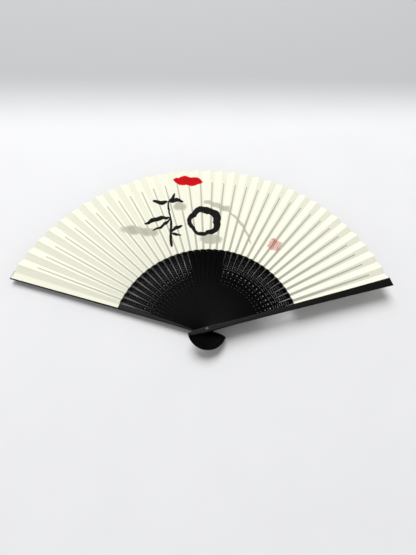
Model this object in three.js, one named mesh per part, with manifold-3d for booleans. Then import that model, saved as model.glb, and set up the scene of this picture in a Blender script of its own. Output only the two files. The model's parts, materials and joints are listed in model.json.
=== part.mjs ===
// Folding hand fan, fully open: thin ribs between two guard sticks, all turning on one rivet,
// with a pleated paper leaf glued along the slivers of the ribs.
//
// Millimetres, +Z up. The rivet's axis is Z and the fan opens symmetrically about +Y.
// The underside of the back guard lies at z = 0. Azimuths are measured from +X towards +Y.
// Sticks are numbered clockwise seen from above: 0 is the back guard, the last is the front guard.

import * as THREE from 'three';
import { mergeVertices } from 'three/addons/utils/BufferGeometryUtils.js';
import Module from 'manifold-3d';

// ---------- driving dimensions ----------

const RIB_COUNT = 33; // ribs between the two guards
const PITCH_DEG = 4.344; // angle between neighbouring sticks when the fan is fully open

const TAIL_LENGTH = 19; // rivet axis to the rounded end of every stick
const GUARD_LENGTH = 206.5; // rivet axis to the square tip of a guard
const GUARD_THICKNESS = 2.2; // at the rivet
const GUARD_RECESS = 0.95; // shaved off the inner face further out, to make room for the sloping ribs

const RIB_PITCH_Z = 0.25; // height of one rib in the stack
const RIB_THICKNESS = 0.2;
const STACK_GAP = 0.05; // air between a guard and the rib next to it

const SLIVER_ROOT = 95.5; // where the shoulder of a rib has narrowed to its sliver
const SLIVER_TIP = 187;
const SLIVER_THICKNESS = 0.13; // the ribs are shaved thinner where the leaf is glued

const LEAF_INNER = 93; // leaf radii, measured from the rivet axis
const LEAF_OUTER = 206;
const LEAF_THICKNESS = 0.1;
const LEAF_LIFT = 0.18; // middle of the paper above the middle of a sliver
const PLEAT_TILT_DEG = 18.6; // slope of a pleat across the fan
const GLUED_HALF_DEG = 1.0; // how far the leaf's end panels reach past the guards' middle lines
const STRIP_GAP_DEG = 0.01; // hairline between neighbouring strips of the leaf

const TWIST_START = 26; // a rib lies flat, and a guard is at its thickest, from the tail to here
const TWIST_END = 87; // a rib has the full slope of the pleats, and a guard its full recess, from here

// Half widths of the sticks at distances from the rivet axis. Carved ribs leave slits between
// them, and the plain ribs in the middle of the fan nearly meet their neighbours.
const CARVED_HALF = [
  [0, 2.6], [30, 2.1], [44, 2.15], [58, 2.3], [70, 2.62], [80, 2.8], [87, 2.72], [91, 2.35], [93.5, 1.6],
];
const PLAIN_HALF = [
  [0, 2.6], [30, 2.1], [44, 2.2], [58, 2.5], [70, 2.85], [80, 3.15], [87, 3.35], [91, 3.1], [93.5, 1.9],
];
const SLIVER_HALF = [[SLIVER_ROOT, 1.15], [SLIVER_TIP, 0.6]];
const GUARD_HALF = [
  [0, 2.9], [TWIST_START, 2.3], [34, 2.2], [TWIST_END, 2.88], [150, 3.7], [GUARD_LENGTH, 4.8],
];
const TAIL_HALF = 2.5; // half width where the tail begins to round off
const TAIL_ROUND_FROM = -10;
const FIRST_PLAIN_RIB = 14;
const LAST_PLAIN_RIB = 19;

const PIN_RADIUS = 1.5;
const PIN_HOLE_RADIUS = 1.56;
const FOOT_RADIUS = 2.5; // flat head of the pin, let in flush with the back guard's underside
const FOOT_THICKNESS = 0.6;
const FOOT_CLEARANCE = 0.06;
const CAP_RADIUS = 2.05; // domed head of the rivet on the front guard
const CAP_HEIGHT = 0.8;
const CAP_GAP = 0.03;
const ROUND_SIDES = 20;

// ---------- derived sizes ----------

const toRadians = THREE.MathUtils.degToRad;
const FRONT_GUARD = RIB_COUNT + 1;
const HALF_OPENING_DEG = (PITCH_DEG * FRONT_GUARD) / 2;
const FOLD_DEG = PITCH_DEG / 4; // a crest or valley fold stands this far from the rib's middle line
const PLEAT_SLOPE = Math.tan(toRadians(PLEAT_TILT_DEG));
const FIRST_RIB_BOTTOM = GUARD_THICKNESS + STACK_GAP;
const LAST_RIB_TOP = FIRST_RIB_BOTTOM + (RIB_COUNT - 1) * RIB_PITCH_Z + RIB_THICKNESS;
const FRONT_GUARD_BOTTOM = LAST_RIB_TOP + STACK_GAP;
const STACK_TOP = FRONT_GUARD_BOTTOM + GUARD_THICKNESS;

const azimuthDeg = (stick) => 90 + HALF_OPENING_DEG - stick * PITCH_DEG;
const ribBottom = (rib) => FIRST_RIB_BOTTOM + (rib - 1) * RIB_PITCH_Z;

// ---------- materials ----------

const blackWood = () => new THREE.MeshStandardMaterial({ color: 0x14120f, roughness: 0.42, metalness: 0 });
const blackNylon = () => new THREE.MeshStandardMaterial({ color: 0x0b0b0c, roughness: 0.25, metalness: 0 });
const ivoryPaper = () => new THREE.MeshStandardMaterial({ color: 0xf6f4e2, roughness: 0.85, metalness: 0 });

// ---------- solids ----------

/**
 * A closed sheet-like solid between two grids of points. Rows and columns run so that a step to
 * the next column followed by a step to the next row turns left when seen from above.
 */
function slabGeometry(topGrid, bottomGrid) {
  const rows = topGrid.length;
  const columns = topGrid[0].length;
  const positions = [...topGrid, ...bottomGrid].flat(2);
  const top = (row, column) => row * columns + column;
  const bottom = (row, column) => rows * columns + top(row, column);
  const triangles = [];
  const quad = (a, b, c, d) => triangles.push(a, b, c, a, c, d);

  for (let row = 0; row < rows - 1; row += 1) {
    for (let column = 0; column < columns - 1; column += 1) {
      const corners = [[row, column], [row, column + 1], [row + 1, column + 1], [row + 1, column]];
      const [a, b, c, d] = corners;
      quad(top(...a), top(...b), top(...c), top(...d));
      quad(bottom(...a), bottom(...d), bottom(...c), bottom(...b));
    }
  }
  const rim = [];
  for (let column = 0; column < columns - 1; column += 1) {
    rim.push([0, column]);
  }
  for (let row = 0; row < rows - 1; row += 1) {
    rim.push([row, columns - 1]);
  }
  for (let column = columns - 1; column > 0; column -= 1) {
    rim.push([rows - 1, column]);
  }
  for (let row = rows - 1; row > 0; row -= 1) {
    rim.push([row, 0]);
  }
  rim.forEach((from, index) => {
    const to = rim[(index + 1) % rim.length];
    quad(bottom(...from), bottom(...to), top(...to), top(...from));
  });

  const geometry = new THREE.BufferGeometry();
  geometry.setAttribute('position', new THREE.Float32BufferAttribute(positions, 3));
  geometry.setIndex(triangles);
  geometry.computeVertexNormals();
  return geometry;
}

const wasm = await Module();
wasm.setup();

/** A closed three.js geometry as a solid that can be cut. */
function toSolid(geometry) {
  const bare = geometry.clone();
  bare.deleteAttribute('normal');
  bare.deleteAttribute('uv');
  const merged = mergeVertices(bare, 1e-4);
  return new wasm.Manifold(new wasm.Mesh({
    numProp: 3,
    vertProperties: new Float32Array(merged.attributes.position.array),
    triVerts: new Uint32Array(merged.index.array),
  }));
}

/** The body geometry with the tool geometries cut away from it. */
function cutAway(body, ...tools) {
  const solid = tools.reduce((rest, tool) => rest.subtract(toSolid(tool)), toSolid(body));
  const mesh = solid.getMesh();
  const geometry = new THREE.BufferGeometry();
  geometry.setAttribute('position', new THREE.BufferAttribute(mesh.vertProperties, 3));
  geometry.setIndex(new THREE.BufferAttribute(mesh.triVerts, 1));
  geometry.computeVertexNormals();
  return geometry;
}

/** An upright round bar on the rivet axis, used as a drill. */
function drill(radius, bottom, top) {
  const bar = new THREE.CylinderGeometry(radius, radius, top - bottom, ROUND_SIDES);
  bar.rotateX(Math.PI / 2);
  bar.translate(0, 0, (bottom + top) / 2);
  return bar;
}

// ---------- sticks ----------

/** Stations of the rounded tail: a half ellipse up to where the sides begin. */
function tailStations() {
  const reach = TAIL_LENGTH + TAIL_ROUND_FROM;
  return [10, 35, 60, 90].map((deg) => {
    const angle = toRadians(deg);
    return [TAIL_ROUND_FROM - reach * Math.cos(angle), TAIL_HALF * Math.sin(angle)];
  });
}

/** How far the slope of the pleats has set in at a distance from the rivet, from 0 to 1. */
function pleatShare(along) {
  return THREE.MathUtils.clamp((along - TWIST_START) / (TWIST_END - TWIST_START), 0, 1);
}

const ribTwist = (along) => toRadians(PLEAT_TILT_DEG) * pleatShare(along);
const guardThickness = (along) => GUARD_THICKNESS - GUARD_RECESS * pleatShare(along);

/** Half the thickness of a rib, shaved down from the shoulder to the sliver. */
function ribHalfThickness(along) {
  const share = THREE.MathUtils.clamp((along - LEAF_INNER) / (SLIVER_ROOT - LEAF_INNER), 0, 1);
  return THREE.MathUtils.lerp(RIB_THICKNESS, SLIVER_THICKNESS, share) / 2;
}

/** A stick along +X between two height profiles, its left edge raised by the twist. */
function stickGeometry(stations, topAt, bottomAt, twistAt) {
  const face = (heightAt) => stations.map(([along, half]) => {
    const twist = twistAt(along);
    return [half, 0, -half].map((across) => [
      along,
      across * Math.cos(twist),
      across * Math.sin(twist) + heightAt(along) / Math.cos(twist),
    ]);
  });
  return slabGeometry(face(topAt), face(bottomAt));
}

/** A rib along +X with the middle of its thickness at z = 0. */
function ribGeometry(halfWidths) {
  const stations = [...tailStations(), ...halfWidths, ...SLIVER_HALF];
  const blade = stickGeometry(stations, ribHalfThickness, (along) => -ribHalfThickness(along), ribTwist);
  return cutAway(blade, drill(PIN_HOLE_RADIUS, -RIB_THICKNESS, RIB_THICKNESS));
}

/** A guard along +X between two height profiles, with its pivot hole and any further cuts. */
function guardGeometry(topAt, bottomAt, ...tools) {
  const blade = stickGeometry([...tailStations(), ...GUARD_HALF], topAt, bottomAt, () => 0);
  const hole = drill(PIN_HOLE_RADIUS, -2 * GUARD_THICKNESS, 2 * GUARD_THICKNESS);
  return cutAway(blade, hole, ...tools);
}

/** A stick's mesh turned to its azimuth and lifted to its place in the stack. */
function placedStick(name, geometry, stick, height) {
  const mesh = new THREE.Mesh(geometry, blackWood());
  mesh.name = name;
  mesh.rotation.z = toRadians(azimuthDeg(stick));
  mesh.position.z = height;
  return mesh;
}

const twoDigits = (number) => String(number).padStart(2, '0');

function buildSticks() {
  const sticks = new THREE.Group();
  const outerFace = () => 0;
  const footRecess = drill(
    FOOT_RADIUS + FOOT_CLEARANCE,
    -FOOT_THICKNESS,
    FOOT_THICKNESS + FOOT_CLEARANCE,
  );
  const back = guardGeometry(guardThickness, outerFace, footRecess);
  const front = guardGeometry(outerFace, (along) => -guardThickness(along));
  sticks.add(placedStick('back_guard', back, 0, 0));
  sticks.add(placedStick('front_guard', front, FRONT_GUARD, STACK_TOP));

  const carved = ribGeometry(CARVED_HALF);
  const plain = ribGeometry(PLAIN_HALF);
  for (let rib = 1; rib <= RIB_COUNT; rib += 1) {
    const isPlain = rib >= FIRST_PLAIN_RIB && rib <= LAST_PLAIN_RIB;
    const middleZ = ribBottom(rib) + RIB_THICKNESS / 2;
    sticks.add(placedStick(`rib_${twoDigits(rib)}`, isPlain ? plain : carved, rib, middleZ));
  }
  return sticks;
}

// ---------- rivet ----------

/** A solid of revolution about the rivet axis from [radius, height] points. */
function turned(name, profile) {
  const points = profile.map(([radius, height]) => new THREE.Vector2(radius, height));
  const mesh = new THREE.Mesh(new THREE.LatheGeometry(points, ROUND_SIDES), blackNylon());
  mesh.name = name;
  mesh.rotation.x = Math.PI / 2;
  return mesh;
}

function buildRivet() {
  const rivet = new THREE.Group();
  rivet.add(turned('pivot_pin', [
    [0, 0], [FOOT_RADIUS, 0], [FOOT_RADIUS, FOOT_THICKNESS], [PIN_RADIUS, FOOT_THICKNESS],
    [PIN_RADIUS, STACK_TOP], [0, STACK_TOP],
  ]));
  const capBottom = STACK_TOP + CAP_GAP;
  const brim = 0.35 * CAP_HEIGHT;
  rivet.add(turned('rivet_cap', [
    [0, capBottom], [CAP_RADIUS, capBottom], [CAP_RADIUS, capBottom + brim],
    [0.88 * CAP_RADIUS, capBottom + 0.72 * CAP_HEIGHT], [0.55 * CAP_RADIUS, capBottom + CAP_HEIGHT],
    [0, capBottom + CAP_HEIGHT],
  ]));
  return rivet;
}

// ---------- leaf ----------

/** Height of the paper's middle at a radius, on a fold this many degrees left of a rib's middle line. */
function foldHeight(rib, degreesLeft, radius) {
  const ribMiddle = ribBottom(rib) + RIB_THICKNESS / 2;
  return ribMiddle + LEAF_LIFT + PLEAT_SLOPE * radius * toRadians(degreesLeft);
}

const flatHeight = (height) => () => height;
const LEAF_ON_GUARD = STACK_GAP + LEAF_THICKNESS / 2; // middle of the paper off the guard's inner face
const ON_BACK_GUARD = flatHeight(GUARD_THICKNESS - GUARD_RECESS + LEAF_ON_GUARD);
const UNDER_FRONT_GUARD = flatHeight(FRONT_GUARD_BOTTOM + GUARD_RECESS - LEAF_ON_GUARD);

/** The high fold on the left of a stick, as an azimuth and the paper's height by radius. */
function crest(stick) {
  const height = stick === FRONT_GUARD ? UNDER_FRONT_GUARD : (radius) => foldHeight(stick, FOLD_DEG, radius);
  return { azimuth: azimuthDeg(stick) + FOLD_DEG, height };
}

/** The low fold on the right of a stick. */
function valley(stick) {
  const height = stick === 0 ? ON_BACK_GUARD : (radius) => foldHeight(stick, -FOLD_DEG, radius);
  return { azimuth: azimuthDeg(stick) - FOLD_DEG, height };
}

/** A fold moved along the paper by a small angle, for the hairline between strips. */
const shifted = (fold, degreesRight) => ({ ...fold, azimuth: fold.azimuth - degreesRight });

/** One strip of the leaf through a list of folds, left to right. */
function leafStrip(name, folds) {
  const face = (side) => [LEAF_INNER, LEAF_OUTER].map((radius) => folds.map((fold) => {
    const azimuth = toRadians(fold.azimuth);
    const z = fold.height(radius) + (side * LEAF_THICKNESS) / 2;
    return [radius * Math.cos(azimuth), radius * Math.sin(azimuth), z];
  }));
  const mesh = new THREE.Mesh(slabGeometry(face(1), face(-1)), ivoryPaper());
  mesh.name = name;
  return mesh;
}

/** The leaf in strips: a panel glued on each guard and, between them, a strip for every second rib. */
function buildLeaf() {
  const leaf = new THREE.Group();
  const glued = (stick, side, height) => ({ azimuth: azimuthDeg(stick) + side * GLUED_HALF_DEG, height });
  leaf.add(leafStrip('leaf_back_end', [
    glued(0, 1, ON_BACK_GUARD), shifted(valley(0), -STRIP_GAP_DEG),
  ]));
  for (let rib = 1; rib <= RIB_COUNT; rib += 2) {
    const start = shifted(valley(rib - 1), STRIP_GAP_DEG);
    const nextIsGuard = rib + 1 === FRONT_GUARD;
    const middle = [crest(rib), valley(rib)];
    const last = nextIsGuard
      ? [shifted(crest(FRONT_GUARD), -STRIP_GAP_DEG)]
      : [crest(rib + 1), shifted(valley(rib + 1), -STRIP_GAP_DEG)];
    leaf.add(leafStrip(`leaf_${twoDigits((rib + 1) / 2)}`, [start, ...middle, ...last]));
  }
  leaf.add(leafStrip('leaf_front_end', [
    shifted(crest(FRONT_GUARD), STRIP_GAP_DEG), glued(FRONT_GUARD, -1, UNDER_FRONT_GUARD),
  ]));
  return leaf;
}

// ---------- the fan ----------

const fan = new THREE.Group();
fan.add(buildSticks(), buildRivet(), buildLeaf());

export default fan;
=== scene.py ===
"""Folding hand fan, fully open: black bamboo sticks on one rivet and a pleated ivory paper leaf.

Metres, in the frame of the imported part: the rivet's axis is Z, the open fan is symmetric about +Y, and
the underside of the back guard lies at z = 0. Azimuths run from +X towards +Y. Sticks are numbered
clockwise seen from above: 0 is the back guard, 1 to 33 are the ribs and 34 is the front guard.
"""

import json
import logging
import math
from dataclasses import dataclass
from enum import Enum

import bmesh
import bpy
import numpy as np
from mathutils import Matrix, Vector


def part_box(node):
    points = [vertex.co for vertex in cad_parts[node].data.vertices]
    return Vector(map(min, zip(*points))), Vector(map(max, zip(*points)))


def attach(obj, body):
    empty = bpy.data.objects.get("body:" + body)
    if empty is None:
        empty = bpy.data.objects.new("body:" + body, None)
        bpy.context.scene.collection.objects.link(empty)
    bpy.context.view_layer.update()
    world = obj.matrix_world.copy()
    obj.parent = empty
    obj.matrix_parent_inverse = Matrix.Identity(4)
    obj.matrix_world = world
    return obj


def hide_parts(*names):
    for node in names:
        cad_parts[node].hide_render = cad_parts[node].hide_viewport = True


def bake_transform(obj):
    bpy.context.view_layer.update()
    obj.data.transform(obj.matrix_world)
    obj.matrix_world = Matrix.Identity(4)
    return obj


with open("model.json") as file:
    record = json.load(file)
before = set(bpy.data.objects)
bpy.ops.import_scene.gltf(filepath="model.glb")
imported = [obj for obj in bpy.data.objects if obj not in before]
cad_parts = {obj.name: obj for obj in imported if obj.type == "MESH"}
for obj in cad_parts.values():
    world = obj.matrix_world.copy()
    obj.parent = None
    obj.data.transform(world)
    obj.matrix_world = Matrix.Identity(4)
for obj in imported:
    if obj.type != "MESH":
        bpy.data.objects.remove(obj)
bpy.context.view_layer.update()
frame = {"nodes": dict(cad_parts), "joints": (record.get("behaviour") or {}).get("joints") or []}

logging.basicConfig(level=logging.INFO, format="%(message)s")
log = logging.getLogger("hand_fan")

MM = 0.001
UV_NAME = "UVMap"
# Mesh attribute that marks where painted shade lies on the paper over the slivers.
SLIVER_SHADE_ATTRIBUTE = "painted_sliver_shade"
# Mesh attribute that marks where painted highlights lie along the folds.
FOLD_HIGHLIGHT_ATTRIBUTE = "painted_fold_highlight"
SHARP_ANGLE = math.radians(32)
MIDDLE_LEAF_STRIP = "leaf_09"

Colour = tuple[float, float, float]
Profile = tuple[tuple[float, float], ...]


# ---------- sizes of the whole fan ----------


class RibKind(Enum):
    """How a rib's blade is worked."""

    CARVED = "carved"
    PLAIN = "plain"


@dataclass(frozen=True)
class FanMeasures:
    """Driving sizes of the fan. The stack, the reach of the leaf and the pitch come from the frame."""

    rib_count: int
    pitch: float
    guard_thickness: float
    stack_top: float
    rib_heights: tuple[float, ...]
    leaf_inner: float
    leaf_outer: float
    tail_reach: float = 19.0 * MM
    guard_reach: float = 206.5 * MM
    guard_recess: float = 0.95 * MM
    sliver_root: float = 92.9 * MM
    sliver_tip: float = 187.0 * MM
    sliver_root_half: float = 1.15 * MM
    sliver_tip_half: float = 0.6 * MM
    pleat_tilt: float = math.radians(18.6)
    twist_start: float = 26.0 * MM
    twist_end: float = 87.0 * MM
    first_plain: int = 14
    last_plain: int = 19

    @property
    def front_stick(self) -> int:
        """Number of the front guard."""
        return self.rib_count + 1

    @property
    def fold(self) -> float:
        """Angle from a rib's middle line to the crest or valley beside it."""
        return self.pitch / 4

    @property
    def slope(self) -> float:
        """Rise of a pleat per unit of its width in plan."""
        return math.tan(self.pleat_tilt)

    def azimuth(self, stick: float) -> float:
        """Azimuth of a stick's middle line in the open fan."""
        return math.pi / 2 + (self.front_stick / 2 - stick) * self.pitch

    def kind(self, rib: int) -> RibKind:
        """Whether a rib is one of the plain ones in the middle of the fan."""
        return RibKind.PLAIN if self.first_plain <= rib <= self.last_plain else RibKind.CARVED

    def sliver_half(self, radius: np.ndarray) -> np.ndarray:
        """Half width of a sliver at radii from the rivet."""
        ends = (self.sliver_root, self.sliver_tip)
        return np.interp(radius, ends, (self.sliver_root_half, self.sliver_tip_half))


def node_reach(node: str) -> tuple[float, float]:
    """How near and how far from the rivet's axis a CAD node's points lie.

    Args:
        node: name of the CAD node.

    Returns:
        The smallest and the largest distance from the Z axis.
    """
    distances = [math.hypot(v.co.x, v.co.y) for v in frame["nodes"][node].data.vertices]
    return min(distances), max(distances)


def measure_fan() -> FanMeasures:
    """Reads the fan's stack, leaf and pitch from the frame.

    Returns:
        The driving sizes of the fan.
    """
    ribs = sorted(name for name in frame["nodes"] if name.startswith("rib_"))
    fold_joint = next(j for j in frame["joints"] if j["child"] == "front_guard")
    opening = fold_joint["range_deg"][1]
    inner, outer = node_reach(MIDDLE_LEAF_STRIP)
    return FanMeasures(
        rib_count=len(ribs),
        pitch=math.radians(opening) / (len(ribs) + 1),
        guard_thickness=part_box("back_guard")[1].z,
        stack_top=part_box("front_guard")[1].z,
        rib_heights=tuple((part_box(rib)[0].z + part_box(rib)[1].z) / 2 for rib in ribs),
        leaf_inner=inner,
        leaf_outer=outer,
    )


# ---------- helpers for node trees ----------


class TreeWriter:
    """Adds and wires the nodes of one tree."""

    def __init__(self, tree: bpy.types.NodeTree) -> None:
        """Starts writing in a tree."""
        self.tree = tree

    def add(self, kind: str, inputs: dict | None = None, **settings: object) -> bpy.types.Node:
        """Adds a node.

        Args:
            kind: type name of the node.
            inputs: values or output sockets for its inputs, by name or index.
            settings: attributes of the node itself.

        Returns:
            The new node.
        """
        node = self.tree.nodes.new(kind)
        for name, value in settings.items():
            setattr(node, name, value)
        for key, value in (inputs or {}).items():
            self.feed(value, node.inputs[key])
        return node

    def feed(self, value: object, socket: bpy.types.NodeSocket) -> None:
        """Links an output to an input, or sets the input's own value.

        Args:
            value: the output socket or the plain value.
            socket: the input to feed.
        """
        if isinstance(value, bpy.types.NodeSocket):
            self.tree.links.new(value, socket)
        else:
            socket.default_value = value

    def math(self, operation: str, *values: object, clamp: bool = False) -> bpy.types.NodeSocket:
        """The output of a Math node on numbers or sockets."""
        node = self.add("ShaderNodeMath", dict(enumerate(values)), operation=operation, use_clamp=clamp)
        return node.outputs[0]

    def vector(self, operation: str, *values: object) -> bpy.types.Node:
        """A Vector Math node on vectors or sockets."""
        return self.add("ShaderNodeVectorMath", dict(enumerate(values)), operation=operation)

    def ramp(self, value: object, low: float, high: float, start: float = 0.0, end: float = 1.0) -> object:
        """A smooth step from start to end while the value goes from low to high."""
        inputs = {"Value": value, "From Min": low, "From Max": high, "To Min": start, "To Max": end}
        return self.add("ShaderNodeMapRange", inputs, interpolation_type="SMOOTHSTEP").outputs["Result"]

    def mix(self, share: object, first: object, second: object) -> bpy.types.NodeSocket:
        """A blend of two colours.

        Args:
            share: how much of the second colour shows, 0 to 1.
            first: colour or socket under the blend.
            second: colour or socket over the blend.

        Returns:
            The socket with the blended colour.
        """
        node = self.add("ShaderNodeMix", data_type="RGBA")
        self.feed(share, node.inputs[0])
        for value, socket in ((first, node.inputs[6]), (second, node.inputs[7])):
            self.feed((*value, 1.0) if isinstance(value, tuple) else value, socket)
        return node.outputs[2]


def new_group(name: str, kind: str, inputs: dict[str, tuple], outputs: dict[str, str]) -> TreeWriter:
    """Starts a node group with named inputs and outputs.

    Args:
        name: name of the group.
        kind: type of the tree.
        inputs: socket type and default value by input name.
        outputs: socket type by output name.

    Returns:
        A writer on the group's tree, whose nodes "in" and "out" hold the sockets.
    """
    tree = bpy.data.node_groups.new(name, kind)
    for title, (socket_type, default) in inputs.items():
        socket = tree.interface.new_socket(title, in_out="INPUT", socket_type=socket_type)
        if default is not None:
            socket.default_value = default
    for title, socket_type in outputs.items():
        tree.interface.new_socket(title, in_out="OUTPUT", socket_type=socket_type)
    tree.nodes.new("NodeGroupInput").name = "in"
    tree.nodes.new("NodeGroupOutput").name = "out"
    return TreeWriter(tree)


def place_group(writer: TreeWriter, group: bpy.types.NodeTree, inputs: dict) -> bpy.types.Node:
    """Puts a group into a tree of the same kind.

    Args:
        writer: writer of the tree that takes the group.
        group: the group's tree.
        inputs: values or sockets for the group's inputs, by name.

    Returns:
        The group's node.
    """
    kind = "GeometryNodeGroup" if group.bl_idname == "GeometryNodeTree" else "ShaderNodeGroup"
    node = writer.add(kind, node_tree=group)
    for title, value in inputs.items():
        writer.feed(value, node.inputs[title])
    return node


def new_material(name: str) -> tuple[bpy.types.Material, TreeWriter, bpy.types.Node]:
    """Starts a material on one Principled shader.

    Args:
        name: name of the material.

    Returns:
        The material, a writer on its tree and the Principled node.
    """
    material = bpy.data.materials.new(name)
    material.use_nodes = True
    return material, TreeWriter(material.node_tree), material.node_tree.nodes["Principled BSDF"]


# ---------- shared effects ----------

FINE_FIBRE_SCALE = 3.7
FINE_FIBRE_SHARE = 0.6
FIBRE_TONES = (0.36, 0.64)
LEAST_ARCH = 0.0001
BELLY_ROUNDNESS = 0.6
MEAN_LOBE = 0.6
PRESSURE_TURN = 0.7
PRESSURE_SWING = 0.38
BAR_EDGES = (0.6, 0.9)


def build_fibre_group() -> bpy.types.NodeTree:
    """Long bamboo fibres that run along a stick.

    Returns:
        A shader group that takes a place on the stick and gives the fibres' tone and height.
    """
    writer = new_group(
        "bamboo_fibre",
        "ShaderNodeTree",
        {
            "Place": ("NodeSocketVector", None),
            "Fibre Length": ("NodeSocketFloat", 0.02),
            "Fibre Width": ("NodeSocketFloat", 0.0003),
        },
        {"Tone": "NodeSocketFloat", "Height": "NodeSocketFloat"},
    )
    source = writer.tree.nodes["in"].outputs
    parts = writer.add("ShaderNodeSeparateXYZ", {0: source["Place"]}).outputs
    stretched = writer.add("ShaderNodeCombineXYZ", {
        0: writer.math("DIVIDE", parts[0], source["Fibre Length"]),
        1: writer.math("DIVIDE", parts[1], source["Fibre Width"]),
        2: parts[2],
    }).outputs[0]
    broad = writer.add("ShaderNodeTexNoise", {"Vector": stretched, "Scale": 1.0, "Detail": 3.0}).outputs[0]
    fine = writer.add("ShaderNodeTexNoise", {
        "Vector": stretched, "Scale": FINE_FIBRE_SCALE, "Detail": 5.0}).outputs[0]
    under = writer.math("MULTIPLY", broad, 1.0 - FINE_FIBRE_SHARE)
    height = writer.math("MULTIPLY_ADD", fine, FINE_FIBRE_SHARE, under)
    writer.feed(writer.ramp(height, *FIBRE_TONES), writer.tree.nodes["out"].inputs["Tone"])
    writer.feed(height, writer.tree.nodes["out"].inputs["Height"])
    return writer.tree


def new_mask_group(name: str, places: tuple[str, ...], sizes: dict[str, float]) -> TreeWriter:
    """Starts a shader group that gives a mask, 1 in the ink.

    Args:
        name: name of the group.
        places: names of its vector inputs.
        sizes: default value of each number input, by name.

    Returns:
        A writer on the group's tree.
    """
    inputs = {title: ("NodeSocketVector", None) for title in places}
    inputs |= {title: ("NodeSocketFloat", default) for title, default in sizes.items()}
    return new_group(name, "ShaderNodeTree", inputs, {"Ink": "NodeSocketFloat"})


def soft_edge(writer: TreeWriter, edge: object, distance: object) -> bpy.types.NodeSocket:
    """A mask that falls from 1 to 0 where a distance passes an edge.

    Args:
        writer: writer of a mask group with an input named Softness.
        edge: socket with the distance of the edge.
        distance: socket with the distance of the place.

    Returns:
        The socket with the mask.
    """
    softness = writer.tree.nodes["in"].outputs["Softness"]
    return writer.ramp(writer.math("DIVIDE", writer.math("SUBTRACT", edge, distance), softness), -1.0, 1.0)


def build_stroke_group() -> bpy.types.NodeTree:
    """One tapering brush stroke between two points, bent to one side.

    Returns:
        A shader group that gives the stroke's mask, 1 in the ink.
    """
    writer = new_mask_group("brush_stroke", ("Place", "Start", "End"), {
        "Half Width": 2.0 * MM, "Bend": 0.0, "Belly": 1.0, "Softness": 0.3 * MM})
    source = writer.tree.nodes["in"].outputs
    run = writer.vector("SUBTRACT", source["End"], source["Start"]).outputs[0]
    length = writer.vector("LENGTH", run).outputs["Value"]
    heading = writer.vector("NORMALIZE", run).outputs[0]
    offset = writer.vector("SUBTRACT", source["Place"], source["Start"]).outputs[0]
    along = writer.vector("DOT_PRODUCT", offset, heading).outputs["Value"]
    sideways = writer.vector("CROSS_PRODUCT", (0, 0, 1), heading).outputs[0]
    aside = writer.vector("DOT_PRODUCT", offset, sideways)
    share = writer.math("DIVIDE", along, length, clamp=True)
    arch = writer.math("MULTIPLY", writer.math("MULTIPLY", share, writer.math("SUBTRACT", 1.0, share)), 4.0)
    bowed = writer.math("SUBTRACT", aside.outputs["Value"], writer.math("MULTIPLY", arch, source["Bend"]))
    overshoot = writer.math("SUBTRACT", along, writer.math("MULTIPLY", share, length))
    distance = writer.math("SQRT", writer.math(
        "ADD", writer.math("MULTIPLY", bowed, bowed), writer.math("MULTIPLY", overshoot, overshoot)))
    full = writer.math("POWER", writer.math("MAXIMUM", arch, LEAST_ARCH), BELLY_ROUNDNESS)
    swell = writer.math("MULTIPLY_ADD", writer.math("SUBTRACT", full, 1.0), source["Belly"], 1.0)
    edge = writer.math("MULTIPLY", source["Half Width"], swell)
    writer.feed(soft_edge(writer, edge, distance), writer.tree.nodes["out"].inputs["Ink"])
    return writer.tree


def build_spot_group() -> bpy.types.NodeTree:
    """A round or oval spot with a soft edge.

    Returns:
        A shader group that gives the spot's mask.
    """
    writer = new_mask_group("ink_spot", ("Place", "Centre", "Stretch"), {
        "Radius": 10.0 * MM, "Softness": 0.5 * MM})
    source = writer.tree.nodes["in"].outputs
    offset = writer.vector("SUBTRACT", source["Place"], source["Centre"]).outputs[0]
    scaled = writer.vector("MULTIPLY", offset, source["Stretch"]).outputs[0]
    distance = writer.vector("LENGTH", scaled).outputs["Value"]
    writer.feed(soft_edge(writer, source["Radius"], distance), writer.tree.nodes["out"].inputs["Ink"])
    return writer.tree


def build_blossom_group() -> bpy.types.NodeTree:
    """The outline of a round blossom with shallow petals.

    Returns:
        A shader group that gives the outline's mask.
    """
    writer = new_mask_group("blossom_outline", ("Place", "Centre"), {
        "Radius": 14.0 * MM, "Petals": 5.0, "Petal Depth": 0.14, "Half Width": 1.5 * MM,
        "Softness": 0.3 * MM})
    source = writer.tree.nodes["in"].outputs
    offset = writer.vector("SUBTRACT", source["Place"], source["Centre"]).outputs[0]
    parts = writer.add("ShaderNodeSeparateXYZ", {0: offset}).outputs
    angle = writer.math("ARCTAN2", parts[1], parts[0])
    half_turns = writer.math("MULTIPLY", writer.math("MULTIPLY", angle, source["Petals"]), 0.5)
    lobes = writer.math("ABSOLUTE", writer.math("SINE", half_turns))
    swell = writer.math(
        "MULTIPLY_ADD", writer.math("SUBTRACT", lobes, MEAN_LOBE), source["Petal Depth"], 1.0)
    outline = writer.math("MULTIPLY", source["Radius"], swell)
    distance = writer.vector("LENGTH", offset).outputs["Value"]
    away = writer.math("ABSOLUTE", writer.math("SUBTRACT", distance, outline))
    around = writer.math("SINE", writer.math("ADD", angle, PRESSURE_TURN))
    pressure = writer.math("MULTIPLY_ADD", around, PRESSURE_SWING, 1.0)
    edge = writer.math("MULTIPLY", source["Half Width"], pressure)
    writer.feed(soft_edge(writer, edge, away), writer.tree.nodes["out"].inputs["Ink"])
    return writer.tree


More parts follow.
